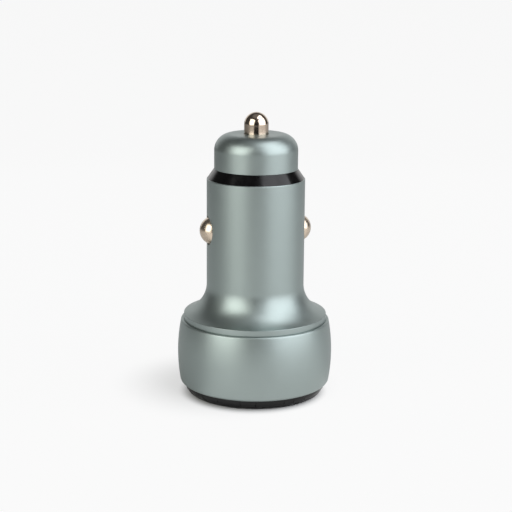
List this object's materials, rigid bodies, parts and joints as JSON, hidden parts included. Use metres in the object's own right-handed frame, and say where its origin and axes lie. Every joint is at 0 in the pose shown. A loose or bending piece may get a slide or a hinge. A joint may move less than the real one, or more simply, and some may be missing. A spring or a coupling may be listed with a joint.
{
  "type": "car usb charger plug",
  "caption": "Metal accessory-socket plug with a flared base, sprung tip pin, sprung side contacts and USB-A ports in its base; turns vehicle socket power into USB power.",
  "frame": {"origin": "centre of the port face that it stands on", "axes": "+Z along the plug's axis towards the sprung tip; the side contacts lie on the X axis and the ports on either side of the X axis along Y"},
  "size_m": [0.033, 0.033, 0.0599],
  "materials": {
    "shell_metal": "bead-blasted, anodised grey-green, satin",
    "black_plastic": "moulded, glossy",
    "nickel": "warm bright nickel plate",
    "spring_steel": "drawn wire",
    "brass": "pressed sheet",
    "board": "solder mask",
    "port_steel": "pressed, nickel-plated",
    "port_plastic": "moulded",
    "ferrite": "sintered",
    "copper": "enamelled winding",
    "capacitor_can": "drawn can",
    "chip_plastic": "moulded epoxy"
  },
  "bodies": {
    "plug": {"body_shell": "shell_metal", "lower_housing": "shell_metal", "nose_cap": "shell_metal", "face_plate": "black_plastic", "insulator_core": "black_plastic", "pin_spring": "spring_steel", "left_contact_spring": "spring_steel", "right_contact_spring": "spring_steel", "pin_terminal": "brass", "left_ground_terminal": "brass", "right_ground_terminal": "brass", "circuit_board": "board", "usb_a_shell": "port_steel", "usb_b_shell": "port_steel", "usb_a_insulator": "port_plastic", "usb_b_insulator": "port_plastic", "usb_a_blades": "brass", "usb_b_blades": "brass", "inductor_core": "ferrite", "inductor_winding": "copper", "input_capacitor": "capacitor_can", "output_capacitor": "capacitor_can", "converter_chip": "chip_plastic", "rectifier_diode": "chip_plastic"},
    "pin": {"centre_pin": "nickel"},
    "left_dome": {"left_contact": "nickel"},
    "right_dome": {"right_contact": "nickel"}
  },
  "joints": [
    {"name": "pin_press", "type": "slide", "parent": "plug", "child": "pin", "axis": [0, 0, -1], "range_m": [0, 0.003], "stiffness_N_per_m": 1200, "deforming": ["pin_spring"]},
    {"name": "left_dome_press", "type": "slide", "parent": "plug", "child": "left_dome", "axis": [1, 0, 0], "range_m": [0, 0.0015], "stiffness_N_per_m": 1500, "deforming": ["left_contact_spring"]},
    {"name": "right_dome_press", "type": "slide", "parent": "plug", "child": "right_dome", "axis": [-1, 0, 0], "range_m": [0, 0.0015], "stiffness_N_per_m": 1500, "deforming": ["right_contact_spring"]}
  ]
}
